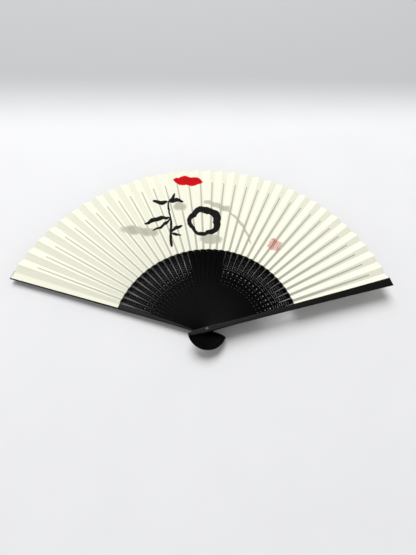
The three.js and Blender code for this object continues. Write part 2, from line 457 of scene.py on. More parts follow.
def build_lattice_group() -> bpy.types.NodeTree:
    """A small printed square filled with a plain lattice of bars.

    Returns:
        A shader group that gives the print's mask.
    """
    writer = new_mask_group("lattice_square", ("Place", "Centre"), {
        "Turn": 0.0, "Half Side": 6.0 * MM, "Cells": 3.0, "Softness": 0.3 * MM})
    source = writer.tree.nodes["in"].outputs
    offset = writer.vector("SUBTRACT", source["Place"], source["Centre"]).outputs[0]
    spin = {"Vector": offset, "Angle": source["Turn"]}
    turned = writer.add("ShaderNodeVectorRotate", spin, rotation_type="Z_AXIS").outputs[0]
    parts = writer.add("ShaderNodeSeparateXYZ", {0: writer.vector("ABSOLUTE", turned).outputs[0]}).outputs
    reach = writer.math("MAXIMUM", parts[0], parts[1])
    wave = writer.math("DIVIDE", writer.math("MULTIPLY", source["Cells"], math.pi), source["Half Side"])
    bars = [writer.math("ABSOLUTE", writer.math("SINE", writer.math("MULTIPLY", part, wave)))
            for part in (parts[0], parts[1])]
    printed = writer.math("SUBTRACT", 1.0, writer.ramp(writer.math("MINIMUM", *bars), *BAR_EDGES))
    mask = writer.math("MULTIPLY", soft_edge(writer, source["Half Side"], reach), printed)
    writer.feed(mask, writer.tree.nodes["out"].inputs["Ink"])
    return writer.tree


# ---------- finishes ----------


@dataclass(frozen=True)
class LacqueredBamboo:
    """Bamboo stained black under a thin satin lacquer."""

    name: str
    stain: Colour
    raised: Colour
    smooth: float
    rough: float
    specular: float
    fibre_length: float = 24 * MM
    fibre_width: float = 0.35 * MM
    relief: float = 0.03 * MM
    relief_strength: float = 0.6

    def build(self, fibre: bpy.types.NodeTree) -> bpy.types.Material:
        """Builds the material.

        Args:
            fibre: the group of bamboo fibres.

        Returns:
            The material, whose fibres follow the stick's own UV map.
        """
        material, writer, shader = new_material(self.name)
        place = writer.add("ShaderNodeUVMap", uv_map=UV_NAME).outputs[0]
        grain = place_group(writer, fibre, {
            "Place": place, "Fibre Length": self.fibre_length, "Fibre Width": self.fibre_width}).outputs
        writer.feed(writer.mix(grain["Tone"], self.stain, self.raised), shader.inputs["Base Color"])
        gloss = writer.ramp(grain["Tone"], 0.0, 1.0, self.rough, self.smooth)
        writer.feed(gloss, shader.inputs["Roughness"])
        bump = writer.add("ShaderNodeBump", {
            "Strength": self.relief_strength, "Distance": self.relief, "Height": grain["Height"]})
        writer.feed(bump.outputs[0], shader.inputs["Normal"])
        shader.inputs["Specular IOR Level"].default_value = self.specular
        return material


@dataclass(frozen=True)
class MouldedNylon:
    """Glossy black nylon with faint moulding haze."""

    name: str = "black_nylon"
    colour: Colour = (0.004, 0.004, 0.0045)
    haze: Colour = (0.012, 0.012, 0.013)
    smooth: float = 0.3
    rough: float = 0.45
    specular: float = 0.3
    haze_size: float = 0.8 * MM
    haze_tones: tuple[float, float] = (0.35, 0.7)

    def build(self) -> bpy.types.Material:
        """Builds the material.

        Returns:
            The material.
        """
        material, writer, shader = new_material(self.name)
        place = writer.add("ShaderNodeTexCoord").outputs["Object"]
        cloud = writer.add("ShaderNodeTexNoise", {
            "Vector": place, "Scale": 1 / self.haze_size, "Detail": 4.0}).outputs[0]
        tone = writer.ramp(cloud, *self.haze_tones)
        writer.feed(writer.mix(tone, self.colour, self.haze), shader.inputs["Base Color"])
        writer.feed(writer.ramp(tone, 0.0, 1.0, self.smooth, self.rough), shader.inputs["Roughness"])
        shader.inputs["Specular IOR Level"].default_value = self.specular
        return material


@dataclass(frozen=True)
class StrokePlan:
    """One brush stroke of the painting, on the flat paper."""

    start: tuple[float, float]
    end: tuple[float, float]
    half_width: float
    bend: float = 0.0
    belly: float = 1.0

    def inputs(self, place: bpy.types.NodeSocket) -> dict[str, object]:
        """Inputs of the brush stroke group, at a socket with the place on the sheet."""
        return {"Place": place, "Start": (*self.start, 0.0), "End": (*self.end, 0.0),
                "Half Width": self.half_width, "Bend": self.bend, "Belly": self.belly}


@dataclass(frozen=True)
class SpotPlan:
    """One soft spot of the painting, on the flat paper."""

    centre: tuple[float, float]
    radius: float
    softness: float
    stretch: tuple[float, float] = (1.0, 1.0)

    def inputs(self, place: bpy.types.NodeSocket) -> dict[str, object]:
        """Inputs of the ink spot group, at a socket with the place on the sheet."""
        return {"Place": place, "Centre": (*self.centre, 0.0), "Stretch": (*self.stretch, 1.0),
                "Radius": self.radius, "Softness": self.softness}


def flat_point(radius: float, right_deg: float) -> tuple[float, float]:
    """A point of the flat paper from its radius in millimetres and its angle to the right of the middle."""
    angle = math.radians(right_deg)
    return radius * MM * math.sin(angle), radius * MM * math.cos(angle)


@dataclass(frozen=True)
class PaintedPaper:
    """Ivory paper with a plain ink painting: a bamboo spray, a blossom ring, a red sun and grey mist.
    Painted shade darkens it over the slivers and painted highlights lighten its folds.
    """

    name: str = "ivory_paper"
    paper: Colour = (0.745, 0.74, 0.625)
    fleck: Colour = (0.71, 0.70, 0.58)
    # Painted shade: paper over a sliver, darkened for the light the sliver behind it blocks.
    painted_sliver_shade: Colour = (0.42, 0.42, 0.365)
    # Painted highlight: a lighter colour along the folds, as where they catch the light.
    painted_fold_highlight: Colour = (0.90, 0.895, 0.79)
    ink: Colour = (0.006, 0.006, 0.006)
    mist: Colour = (0.42, 0.41, 0.335)
    red: Colour = (0.50, 0.0015, 0.005)
    print_red: Colour = (0.42, 0.035, 0.04)
    roughness: float = 0.82
    specular: float = 0.08
    pulp_size: float = 1.6 * MM
    relief: float = 0.035 * MM
    relief_strength: float = 0.7
    bristle: float = 0.5 * MM
    brush_scale: float = 220.0
    dry_scale: float = 260.0
    pulp_tones: tuple[float, float] = (0.42, 0.66)
    # How strongly the painted fold highlight shows.
    fold_highlight_share: float = 0.7
    translucency: float = 0.14

    def bamboo_spray(self) -> tuple[StrokePlan, ...]:
        """Plans the painted bamboo.

        Returns:
            Its stem, twigs and leaves.
        """
        knot = flat_point(141, -20.0)
        high = flat_point(163, -19.0)
        low = flat_point(122, -22.5)
        foot = flat_point(104, -25.0)
        return (
            StrokePlan(foot, low, 1.7 * MM, 0.3 * MM, 0.5),
            StrokePlan(low, knot, 1.5 * MM, -0.5 * MM, 0.3),
            StrokePlan(knot, high, 1.2 * MM, 0.8 * MM, 0.4),
            StrokePlan(knot, flat_point(143, -33.0), 3.0 * MM, -3.0 * MM),
            StrokePlan(knot, flat_point(132, -31.0), 1.9 * MM, 2.5 * MM),
            StrokePlan(high, flat_point(170, -25.0), 3.0 * MM, 1.5 * MM),
            StrokePlan(high, flat_point(160, -12.5), 3.1 * MM, 2.4 * MM),
            StrokePlan(high, flat_point(174, -15.5), 2.2 * MM, -1.5 * MM),
            StrokePlan(low, flat_point(127, -15.0), 2.2 * MM, 1.6 * MM),
            StrokePlan(low, flat_point(115, -17.0), 1.6 * MM, -1.2 * MM),
        )

    def twig(self) -> tuple[StrokePlan, ...]:
        """Plans the grey twig that sweeps from the blossom to the right.

        Returns:
            Its two strokes.
        """
        joint = flat_point(147, 8.0)
        return (
            StrokePlan(flat_point(158, -3.0), joint, 3.2 * MM, 1.5 * MM, 0.4),
            StrokePlan(flat_point(149, 6.5), flat_point(110, 25.5), 1.6 * MM, 5.5 * MM, 0.7),
        )

    def mist_spots(self) -> tuple[SpotPlan, ...]:
        """Plans the grey washes behind the painting.

        Returns:
            The washes.
        """
        return (
            SpotPlan(flat_point(143, -38.5), 11 * MM, 3.0 * MM, (0.8, 1.9)),
            SpotPlan(flat_point(132, -33.0), 9 * MM, 3.0 * MM, (0.8, 1.7)),
            SpotPlan(flat_point(154, -14.5), 7 * MM, 2.0 * MM, (0.9, 1.2)),
            SpotPlan(flat_point(106, 0.5), 11 * MM, 2.5 * MM, (0.85, 1.7)),
            SpotPlan(flat_point(150, 6.0), 6 * MM, 2.5 * MM, (0.8, 1.6)),
        )

    def sun(self) -> SpotPlan:
        """The low red sun, a flat oval."""
        return SpotPlan(flat_point(190, -9.4), 12.5 * MM, 0.5 * MM, (0.68, 1.75))

    def build(self) -> bpy.types.Material:
        """Builds the material.

        Returns:
            The material, whose painting lies on the sheet's flat UV map in metres.
        """
        material, writer, shader = new_material(self.name)
        place = writer.add("ShaderNodeUVMap", uv_map=UV_NAME).outputs[0]
        pulp = writer.add("ShaderNodeTexNoise", {
            "Vector": place, "Scale": 1 / self.pulp_size, "Detail": 6.0, "Roughness": 0.6}).outputs[0]
        strands = writer.add("ShaderNodeTexNoise", {
            "Vector": writer.vector("MULTIPLY", place, (1.0, 5.0, 1.0)).outputs[0],
            "Scale": 0.25 / self.pulp_size, "Detail": 5.0, "Distortion": 1.5}).outputs[0]
        mean = writer.math("MULTIPLY_ADD", pulp, 0.5, writer.math("MULTIPLY", strands, 0.5))
        colour = writer.mix(writer.ramp(mean, *self.pulp_tones), self.paper, self.fleck)
        # Painted shade over the slivers, read from the leaf's attribute.
        sliver = writer.add("ShaderNodeAttribute", attribute_name=SLIVER_SHADE_ATTRIBUTE).outputs["Fac"]
        # Painted highlight along the folds, read from the leaf's attribute.
        painted_fold_highlight = writer.add("ShaderNodeAttribute", attribute_name=FOLD_HIGHLIGHT_ATTRIBUTE).outputs["Fac"]
        colour = writer.mix(writer.math("MULTIPLY", painted_fold_highlight, self.fold_highlight_share), colour, self.painted_fold_highlight)
        colour = writer.mix(sliver, colour, self.painted_sliver_shade)
        colour = self._painted(writer, place, colour)
        writer.feed(colour, shader.inputs["Base Color"])
        shader.inputs["Roughness"].default_value = self.roughness
        shader.inputs["Specular IOR Level"].default_value = self.specular
        height = writer.math("MULTIPLY_ADD", strands, 0.7, writer.math("MULTIPLY", pulp, 0.5))
        bump = writer.add("ShaderNodeBump", {
            "Strength": self.relief_strength, "Distance": self.relief, "Height": height})
        writer.feed(bump.outputs[0], shader.inputs["Normal"])
        glow = writer.add("ShaderNodeBsdfTranslucent", {"Color": colour})
        blend = writer.add("ShaderNodeMixShader", {
            0: self.translucency, 1: shader.outputs[0], 2: glow.outputs[0]})
        writer.feed(blend.outputs[0], material.node_tree.nodes["Material Output"].inputs["Surface"])
        return material

    def _painted(self, writer: TreeWriter, place: object, colour: object) -> object:
        """Lays the painting over the paper's colour.

        Args:
            writer: writer of the material's tree.
            place: socket with the place on the flat sheet.
            colour: socket with the paper's colour.

        Returns:
            The socket with the painted colour.
        """
        stroke, spot = build_stroke_group(), build_spot_group()
        wobble = writer.add("ShaderNodeTexNoise", {
            "Vector": place, "Scale": self.brush_scale, "Detail": 3.0}).outputs["Color"]
        shift = writer.vector("SCALE", writer.vector("SUBTRACT", wobble, (0.5, 0.5, 0.5)).outputs[0])
        shift.inputs["Scale"].default_value = 4 * self.bristle
        brushed = writer.vector("ADD", place, shift.outputs[0]).outputs[0]
        ring = place_group(writer, build_blossom_group(), {
            "Place": brushed, "Centre": (*flat_point(129.5, -3.8), 0.0), "Radius": 16.5 * MM,
            "Petals": 5.0, "Petal Depth": 0.13, "Half Width": 3.7 * MM}).outputs[0]
        print_mask = place_group(writer, build_lattice_group(), {
            "Place": brushed, "Centre": (*flat_point(123.5, 37.5), 0.0), "Turn": math.radians(33),
            "Half Side": 7.0 * MM}).outputs[0]
        dry = writer.add("ShaderNodeTexNoise", {
            "Vector": writer.vector("MULTIPLY", place, (1.0, 4.0, 1.0)).outputs[0],
            "Scale": self.dry_scale, "Detail": 4.0}).outputs[0]
        washes = self._joined(writer, spot, brushed, self.mist_spots())
        twig = self._joined(writer, stroke, brushed, self.twig())
        spray = self._joined(writer, stroke, brushed, self.bamboo_spray())
        sun = self._joined(writer, spot, brushed, (self.sun(),))
        colour = writer.mix(writer.math("MULTIPLY", washes, 0.95), colour, self.mist)
        colour = writer.mix(writer.math("MULTIPLY", twig, 0.9), colour, self.mist)
        colour = writer.mix(sun, colour, self.red)
        patchy = writer.math("MULTIPLY", print_mask, writer.ramp(dry, 0.35, 0.6, 0.98, 0.5))
        colour = writer.mix(patchy, colour, self.print_red)
        black = writer.math("MAXIMUM", ring, spray)
        inked = writer.math("MULTIPLY", black, writer.ramp(dry, 0.25, 0.4, 0.85, 1.0))
        return writer.mix(inked, colour, self.ink)

    def _joined(
        self, writer: TreeWriter, group: bpy.types.NodeTree, place: bpy.types.NodeSocket,
        plans: tuple[StrokePlan, ...] | tuple[SpotPlan, ...]
    ) -> object:
        """Lays some marks of one kind over each other.

        Args:
            writer: writer of the material's tree.
            group: the group that draws one mark.
            place: socket with the place on the flat sheet.
            plans: the marks.

        Returns:
            The socket with their joined mask.
        """
        mask = 0.0
        for plan in plans:
            mark = place_group(writer, group, plan.inputs(place)).outputs[0]
            mask = writer.math("MAXIMUM", mask, mark)
        return mask


# ---------- meshes ----------


def new_object(name: str, mesh: bpy.types.Mesh) -> bpy.types.Object:
    """Links a new object to the scene.

    Args:
        name: name of the object.
        mesh: its mesh.

    Returns:
        The object.
    """
    piece = bpy.data.objects.new(name, mesh)
    bpy.context.scene.collection.objects.link(piece)
    return piece


def slab_mesh(name: str, top: np.ndarray, bottom: np.ndarray) -> bpy.types.Mesh:
    """A closed solid between two grids of points.

    Args:
        name: name of the mesh.
        top: upper points, as rows x columns x 3. Columns run to the right, looking along the rows.
        bottom: lower points, in the same order.

    Returns:
        The mesh, its faces outwards. Its vertices are the top's in order, then the bottom's.
    """
    rows, columns = top.shape[:2]
    upper = np.arange(rows * columns).reshape(rows, columns)
    lower = upper + rows * columns
    quads = []
    for grid, flip in ((upper, False), (lower, True)):
        corners = (grid[:-1, :-1], grid[:-1, 1:], grid[1:, 1:], grid[1:, :-1])
        cells = np.stack(corners, -1).reshape(-1, 4)
        quads.append(cells[:, ::-1] if flip else cells)
    rim = np.concatenate((upper[0, :-1], upper[:-1, -1], upper[-1, :0:-1], upper[:0:-1, 0]))
    onward = np.roll(rim, -1)
    quads.append(np.stack((rim + rows * columns, onward + rows * columns, onward, rim), -1))
    mesh = bpy.data.meshes.new(name)
    points = np.concatenate((top.reshape(-1, 3), bottom.reshape(-1, 3)))
    mesh.from_pydata(points.tolist(), [], np.concatenate(quads).tolist())
    mesh.update()
    return mesh


def lathe_mesh(name: str, profile: Profile, segments: int) -> bpy.types.Mesh:
    """A solid of revolution about the rivet's axis.

    Args:
        name: name of the mesh.
        profile: radii and heights, from the middle of the underside to the middle of the top.
        segments: faces around the axis.

    Returns:
        The closed mesh, with a single point at either pole.
    """
    builder = bmesh.new()
    angles = [math.tau * k / segments for k in range(segments)]
    rings = []
    for radius, height in profile:
        around = angles if radius else angles[:1]
        places = [(radius * math.cos(angle), radius * math.sin(angle), height) for angle in around]
        rings.append([builder.verts.new(place) for place in places])
    for below, above in zip(rings, rings[1:]):
        for k in range(segments):
            after = (k + 1) % segments
            corners = [below[k % len(below)], below[after % len(below)],
                       above[after % len(above)], above[k % len(above)]]
            builder.faces.new(list(dict.fromkeys(corners)))
    mesh = bpy.data.meshes.new(name)
    builder.to_mesh(mesh)
    builder.free()
    return mesh


# ---------- sticks ----------


@dataclass(frozen=True)
class HoleField:
    """Rows of round holes along a stick."""

    first: float
    radius: float
    rows: int = 1
    row_pitch: float = 2.0 * MM
    columns: int = 1
    column_pitch: float = 1.3 * MM
    sides: int = 10
    depth: float = 12 * MM


def build_hole_field_group() -> bpy.types.NodeTree:
    """Upright pegs on a field of points, which punch a field of holes.

    Returns:
        A geometry group with named inputs for the field's sizes.
    """
    writer = new_group(
        "hole_field",
        "GeometryNodeTree",
        {
            "First": ("NodeSocketFloat", 0.0),
            "Rows": ("NodeSocketInt", 1),
            "Row Pitch": ("NodeSocketFloat", 0.002),
            "Columns": ("NodeSocketInt", 1),
            "Column Pitch": ("NodeSocketFloat", 0.002),
            "Radius": ("NodeSocketFloat", 0.0005),
            "Sides": ("NodeSocketInt", 10),
            "Depth": ("NodeSocketFloat", 0.01),
        },
        {"Pegs": "NodeSocketGeometry"},
    )
    source = writer.tree.nodes["in"].outputs
    count = writer.math("MULTIPLY", source["Rows"], source["Columns"])
    points = writer.add("GeometryNodePoints", {"Count": count}).outputs[0]
    index = writer.add("GeometryNodeInputIndex").outputs[0]
    row = writer.math("FLOOR", writer.math("DIVIDE", writer.math("ADD", index, 0.5), source["Columns"]))
    column = writer.math("SUBTRACT", index, writer.math("MULTIPLY", row, source["Columns"]))
    middle = writer.math("MULTIPLY", writer.math("SUBTRACT", source["Columns"], 1.0), 0.5)
    across = writer.math("MULTIPLY", writer.math("SUBTRACT", column, middle), source["Column Pitch"])
    along = writer.math("MULTIPLY_ADD", row, source["Row Pitch"], source["First"])
    spot = writer.add("ShaderNodeCombineXYZ", {0: along, 1: across}).outputs[0]
    placed = writer.add("GeometryNodeSetPosition", {"Geometry": points, "Position": spot}).outputs[0]
    peg = writer.add("GeometryNodeMeshCylinder", {
        "Vertices": source["Sides"], "Radius": source["Radius"], "Depth": source["Depth"]}).outputs["Mesh"]
    pegs = writer.add("GeometryNodeInstanceOnPoints", {"Points": placed, "Instance": peg}).outputs[0]
    whole = writer.add("GeometryNodeRealizeInstances", {0: pegs}).outputs[0]
    writer.feed(whole, writer.tree.nodes["out"].inputs[0])
    return writer.tree


def build_stick_tree(
    name: str, measures: FanMeasures, fields: tuple[HoleField, ...], hole_group: bpy.types.NodeTree
) -> bpy.types.NodeTree:
    """The tree that punches a flat stick, leans it to the slope of the pleats and sets it in the fan.

    Args:
        name: name of the tree.
        measures: sizes of the fan.
        fields: the holes to punch.
        hole_group: the group that makes the pegs of a field of holes.

    Returns:
        The tree, with inputs for the stick's place, slope, grain and material.
    """
    writer = new_group(
        name,
        "GeometryNodeTree",
        {
            "Geometry": ("NodeSocketGeometry", None),
            "Azimuth": ("NodeSocketFloat", 0.0),
            "Height": ("NodeSocketFloat", 0.0),
            "Tilt": ("NodeSocketFloat", 0.0),
            "Twist Start": ("NodeSocketFloat", measures.twist_start),
            "Twist End": ("NodeSocketFloat", measures.twist_end),
            "Grain Shift": ("NodeSocketFloat", 0.0),
            "Material": ("NodeSocketMaterial", None),
        },
        {"Geometry": "NodeSocketGeometry"},
    )
    source = writer.tree.nodes["in"].outputs
    pegs = writer.add("GeometryNodeJoinGeometry")
    for plan in fields:
        made = place_group(writer, hole_group, {
            "First": plan.first, "Rows": plan.rows, "Row Pitch": plan.row_pitch, "Columns": plan.columns,
            "Column Pitch": plan.column_pitch, "Radius": plan.radius, "Sides": plan.sides,
            "Depth": plan.depth})
        writer.tree.links.new(made.outputs[0], pegs.inputs[0])
    punched = writer.add("GeometryNodeMeshBoolean", operation="DIFFERENCE", solver="MANIFOLD")
    writer.feed(source["Geometry"], punched.inputs["Mesh 1"])
    writer.feed(pegs.outputs[0], punched.inputs["Mesh 2"])
    cut = writer.add("GeometryNodeTriangulate", {0: punched.outputs[0]}).outputs[0]
    position = writer.add("GeometryNodeInputPosition").outputs[0]
    along = writer.add("ShaderNodeSeparateXYZ", {0: position}).outputs[0]
    shift = writer.add("ShaderNodeCombineXYZ", {0: source["Grain Shift"]}).outputs[0]
    grain_place = writer.vector("ADD", position, shift).outputs[0]
    mapped = writer.add("GeometryNodeStoreNamedAttribute", {
        "Geometry": cut, "Name": UV_NAME}, data_type="FLOAT2", domain="CORNER")
    writer.feed(grain_place, mapped.inputs["Value"])
    twist = writer.add("ShaderNodeMapRange", {
        "Value": along, "From Min": source["Twist Start"], "From Max": source["Twist End"],
        "To Min": 0.0, "To Max": source["Tilt"]}).outputs["Result"]
    leaned = writer.add("ShaderNodeVectorRotate", {
        "Vector": position, "Angle": twist}, rotation_type="X_AXIS").outputs[0]
    twisted = writer.add("GeometryNodeSetPosition", {
        "Geometry": mapped.outputs[0], "Position": leaned}).outputs[0]
    turn = writer.add("ShaderNodeCombineXYZ", {2: source["Azimuth"]}).outputs[0]
    lift = writer.add("ShaderNodeCombineXYZ", {2: source["Height"]}).outputs[0]
    placed = writer.add("GeometryNodeTransform", {
        "Geometry": twisted, "Translation": lift, "Rotation": turn}).outputs[0]
    whole = writer.add("GeometryNodeRealizeInstances", {0: placed}).outputs[0]
    dressed = writer.add("GeometryNodeSetMaterial", {"Geometry": whole, "Material": source["Material"]})
    writer.feed(dressed.outputs[0], writer.tree.nodes["out"].inputs[0])
    return writer.tree


def bake_stick(
    name: str, blank: bpy.types.Mesh, tree: bpy.types.NodeTree, values: dict[str, object]
) -> bpy.types.Object:
    """Runs a stick's tree on a blank and keeps the result as a plain mesh object.

    Args:
        name: name of the finished piece.
        blank: mesh of the flat, unpunched stick.
        tree: the stick tree.
        values: the tree's inputs by name.

    Returns:
        The finished piece, at the origin with its place in its mesh.
    """
    carrier = new_object("blank", blank)
    modifier = carrier.modifiers.new("stick", "NODES")
    modifier.node_group = tree
    for item in tree.interface.items_tree:
        if item.item_type == "SOCKET" and item.in_out == "INPUT" and item.name in values:
            modifier[item.identifier] = values[item.name]
    depsgraph = bpy.context.evaluated_depsgraph_get()
    mesh = bpy.data.meshes.new_from_object(carrier.evaluated_get(depsgraph))
    carrier.modifiers.clear()
    bpy.data.objects.remove(carrier)
    mesh.name = name
    mesh.shade_smooth()
    mesh.set_sharp_from_angle(angle=SHARP_ANGLE)
    return new_object(name, mesh)


@dataclass
class StickBlank:
    """A flat stick along +X before it is punched, with a rounded tail and eased edges."""

    tail_reach: float
    outline: Profile
    upper: Profile
    lower: Profile
    easing: float
    rim: tuple[float, ...]
    inner_columns: int
    tail_half: float = 2.5 * MM
    tail_round: float = 9.0 * MM
    tail_steps: int = 10
    tail_start: float = 0.08
    step: float = 2.6 * MM
    closest: float = 0.05 * MM
    widest_easing: float = 0.8
    deepest_easing: float = 0.4

    @property
    def end(self) -> float:
        """Distance from the rivet to the tip."""
        return self.outline[-1][0]

    @property
    def round_from(self) -> float:
        """Place where the tail begins to round off."""
        return self.tail_round - self.tail_reach

    def stations(self) -> np.ndarray:
        """Finds where along the stick its cross section is given.

        Returns:
            The places in order, none closer together than the closest allowed.
        """
        angles = np.linspace(self.tail_start, math.pi / 2, self.tail_steps)
        tail = self.round_from - self.tail_round * np.cos(angles)
        body = np.arange(self.round_from + self.step, self.end - self.step / 2, self.step)
        corners = [place for place, _ in (*self.outline, *self.lower, *self.upper) if place <= self.end]
        ends = self.end - self.easing * np.array(self.rim)
        every = np.unique(np.round(np.concatenate((tail, body, corners, ends)), 7))
        return every[np.append(np.diff(every) > self.closest, True)]

    def half_width(self, along: np.ndarray) -> np.ndarray:
        """Half the width of the stick.

        Args:
            along: places along the stick.

        Returns:
            The half width at each place.
        """
        places, halves = zip((self.round_from, self.tail_half), *self.outline)
        share = np.clip((self.round_from - along) / self.tail_round, 0.0, 1.0)
        return np.interp(along, places, halves) * np.sqrt(1.0 - share**2)

    def build(self, name: str) -> bpy.types.Mesh:
        """Builds the blank.

        Args:
            name: name of the mesh.

        Returns:
            The closed flat stick.
        """
        along = self.stations()[:, None]
        half = self.half_width(along)
        top, bottom = (np.interp(along, *zip(*side)) for side in (self.upper, self.lower))
        ease = np.minimum(self.easing, self.widest_easing * half)
        left = half - ease * np.array(self.rim)
        inner = (half - ease) * np.linspace(1, -1, self.inner_columns + 2)[1:-1]
        across = np.concatenate((left, inner, -left[:, ::-1]), 1)
        inset = np.minimum(half - np.abs(across), np.minimum(self.end - along, along + self.tail_reach))
        share = np.clip(inset / ease, 0.0, 1.0)
        depth = np.minimum(ease, self.deepest_easing * (top - bottom))
        drop = depth * (1.0 - np.sqrt(1.0 - (1.0 - share) ** 2))
        grids = [np.stack(np.broadcast_arrays(along, across, z), -1) for z in (top - drop, bottom + drop)]
        return slab_mesh(name, *grids)


@dataclass
class GuardSticks:
    """The two guards: outer sticks with a flat outer face, shaved on the inside to take the leaf."""

    measures: FanMeasures
    material: bpy.types.Material
    root_half: float = 2.9 * MM
    neck_half: float = 2.3 * MM
    waist: tuple[float, float] = (34 * MM, 2.2 * MM)
    shoulder_half: float = 2.88 * MM
    middle: tuple[float, float] = (150 * MM, 3.7 * MM)
    tip_half: float = 4.8 * MM
    tip_thickness: float = 0.8 * MM
    easing: float = 0.32 * MM
    pivot_hole: float = 1.56 * MM
    foot_hole: float = 2.56 * MM
    foot_depth: float = 0.66 * MM
    hole_sides: int = 40
    rim: tuple[float, ...] = (0.0, 0.12, 0.42, 1.0)
    inner_columns: int = 5
    grain_step: float = 0.31

    def outline(self) -> Profile:
        """Sets out the half widths along a guard.

        Returns:
            Places and half widths, from the rivet to the square tip.
        """
        reach = self.measures.guard_reach
        return ((0.0, self.root_half), (self.measures.twist_start, self.neck_half), self.waist,
                (self.measures.twist_end, self.shoulder_half), self.middle, (reach, self.tip_half))

    def thickness(self) -> Profile:
        """Sets out the thickness along a guard.

        Returns:
            Places and thicknesses, from the twist's start to the tip.
        """
        root = self.measures.guard_thickness
        shaved = root - self.measures.guard_recess
        return ((self.measures.twist_start, root), (self.measures.twist_end, shaved),
                (self.measures.guard_reach, self.tip_thickness))

    def build(self, hole_group: bpy.types.NodeTree) -> list[bpy.types.Object]:
        """Builds both guards.

        Args:
            hole_group: the group that makes the pegs of a field of holes.

        Returns:
            The back and the front guard.
        """
        pivot = HoleField(0.0, self.pivot_hole, sides=self.hole_sides)
        recess = HoleField(0.0, self.foot_hole, sides=self.hole_sides, depth=2 * self.foot_depth)
        guards = []
        for body, stick, height, fields in (
            ("back_guard", 0, 0.0, (pivot, recess)),
            ("front_guard", self.measures.front_stick, self.measures.stack_top, (pivot,)),
        ):
            flat = tuple((place, 0.0) for place, _ in self.thickness())
            sign = -1 if stick else 1
            inner = tuple((place, sign * thickness) for place, thickness in self.thickness())
            upper, lower = (flat, inner) if stick else (inner, flat)
            blank = StickBlank(self.measures.tail_reach, self.outline(), upper, lower, self.easing,
                               self.rim, self.inner_columns).build("guard_blank")
            tree = build_stick_tree(f"{body}_tree", self.measures, fields, hole_group)
            guard = bake_stick(f"{body}_stick", blank, tree, {
                "Azimuth": self.measures.azimuth(stick), "Height": height,
                "Grain Shift": self.grain_step * (stick + 1), "Material": self.material})
            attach(guard, body)
            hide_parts(body)
            guards.append(guard)
        return guards


@dataclass
class RibSet:
    """The ribs between the guards: thin leaning blades, punched with holes, that end in slivers."""

    measures: FanMeasures
    material: bpy.types.Material
    carved: Profile = (
        (0.0, 2.6), (30.0, 2.1), (44.0, 2.15), (58.0, 2.3), (70.0, 2.62), (80.0, 2.74), (87.0, 2.64),
        (92.3, 2.52), (92.6, 2.4), (92.9, 1.15), (187.0, 0.6),
    )
    plain: Profile = (
        (0.0, 2.6), (30.0, 2.1), (44.0, 2.2), (58.0, 2.5), (70.0, 2.85), (80.0, 3.15), (86.0, 3.48),
        (89.0, 3.55), (90.6, 3.35), (91.7, 2.75), (92.4, 1.8), (92.9, 1.15), (187.0, 0.6),
    )
    blade_half: float = 0.1 * MM
    sliver_half: float = 0.035 * MM
    shaved_from: float = 91.0 * MM
    shaved_to: float = 92.5 * MM
    easing: float = 0.05 * MM
    pivot_hole: float = 1.56 * MM
    hole_sides: int = 32
    rim: tuple[float, ...] = (0.0, 0.4, 1.0)
    inner_columns: int = 3
    grain_step: float = 0.37

    def holes(self, kind: RibKind) -> tuple[HoleField, ...]:
        """Sets out the holes of a rib.

        Args:
            kind: how the rib's blade is worked.

        Returns:
            The pivot hole and, on a carved rib, the punched rows.
        """
        pivot = HoleField(0.0, self.pivot_hole, sides=self.hole_sides)
        if kind is RibKind.PLAIN:
            return (pivot,)
        return (
            pivot,
            HoleField(53.0 * MM, 0.3 * MM, rows=2, row_pitch=3.5 * MM),
            HoleField(61.3 * MM, 0.46 * MM, sides=14),
            HoleField(64.4 * MM, 0.26 * MM, columns=2, column_pitch=1.8 * MM),
            HoleField(67.1 * MM, 0.7 * MM, sides=20),
            HoleField(70.6 * MM, 0.33 * MM, rows=4, row_pitch=4.8 * MM, columns=3),
            HoleField(73.0 * MM, 0.33 * MM, rows=4, row_pitch=4.8 * MM, columns=2),
        )

    def build(self, hole_group: bpy.types.NodeTree) -> list[bpy.types.Object]:
        """Builds every rib.

        Args:
            hole_group: the group that makes the pegs of a field of holes.

        Returns:
            The ribs, from the back of the stack to the front.
        """
        upper = ((self.shaved_from, self.blade_half), (self.shaved_to, self.sliver_half))
        lower = tuple((place, -half) for place, half in upper)
        trees, outlines = {}, {}
        for kind, millimetres in ((RibKind.CARVED, self.carved), (RibKind.PLAIN, self.plain)):
            outlines[kind] = tuple((place * MM, half * MM) for place, half in millimetres)
            trees[kind] = build_stick_tree(
                f"{kind.value}_rib_tree", self.measures, self.holes(kind), hole_group)
        ribs = []
        for number in range(1, self.measures.rib_count + 1):
            kind = self.measures.kind(number)
            blank = StickBlank(self.measures.tail_reach, outlines[kind], upper, lower, self.easing,
                               self.rim, self.inner_columns).build("rib_blank")
            rib = bake_stick(f"rib_blade_{number:02d}", blank, trees[kind], {
                "Azimuth": self.measures.azimuth(number), "Height": self.measures.rib_heights[number - 1],
                "Tilt": self.measures.pleat_tilt, "Grain Shift": self.grain_step * number,
                "Material": self.material})
            body = f"rib_{number:02d}"
            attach(rib, body)
            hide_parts(body)
            ribs.append(rib)
        return ribs


# ---------- rivet ----------


